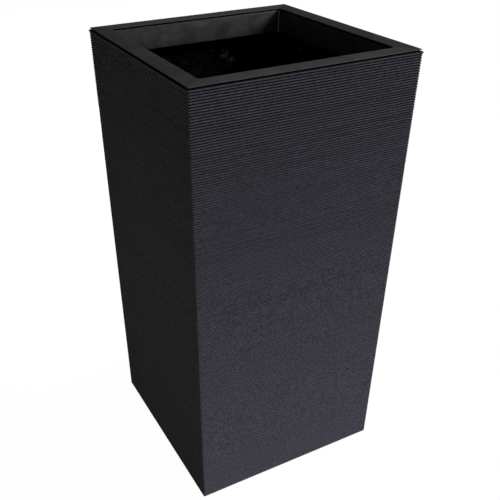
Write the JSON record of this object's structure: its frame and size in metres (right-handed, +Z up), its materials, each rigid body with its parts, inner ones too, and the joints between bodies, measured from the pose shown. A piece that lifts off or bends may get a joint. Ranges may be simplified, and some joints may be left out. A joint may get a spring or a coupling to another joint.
{
  "type": "tall planter",
  "caption": "Tall square tapered glass-fibre planter with a finely ribbed wall, a smooth flat rim over a shadow gap, a lift-out soil shelf and a drain plug.",
  "frame": {"origin": "middle of the base, on the ground under the foot pads", "axes": "+Z up along the planter's height, -Y towards the front, +X to the right"},
  "size_m": [0.4058, 0.4058, 0.8],
  "materials": {
    "ribbed_gelcoat": "matt, slightly grainy",
    "rim_gelcoat": "smooth satin",
    "lip_gelcoat": "smooth satin",
    "raw_laminate": "black resin over glass mat",
    "shelf_laminate": "black resin, fine weave",
    "timber": "sawn, resin soaked",
    "rubber": "matt"
  },
  "bodies": {
    "planter": {"wall_shell": "ribbed_gelcoat", "rim_frame": "rim_gelcoat", "rim_lip": "lip_gelcoat", "rim_batten_front": "timber", "rim_batten_back": "timber", "rim_batten_left": "timber", "rim_batten_right": "timber", "floor_panel": "raw_laminate", "shelf_ledge_front": "raw_laminate", "shelf_ledge_back": "raw_laminate", "shelf_ledge_left": "raw_laminate", "shelf_ledge_right": "raw_laminate", "foot_pad_front_left": "rubber", "foot_pad_front_right": "rubber", "foot_pad_back_left": "rubber", "foot_pad_back_right": "rubber"},
    "soil_shelf": {"soil_shelf": "shelf_laminate"},
    "drain_plug": {"drain_plug": "rubber"}
  },
  "joints": [
    {"name": "shelf_lift", "type": "slide", "parent": "planter", "child": "soil_shelf", "axis": [0, 0, 1], "range_m": [0, 0.36]},
    {"name": "plug_pull", "type": "slide", "parent": "planter", "child": "drain_plug", "axis": [0, 0, 1], "range_m": [0, 0.12]}
  ]
}
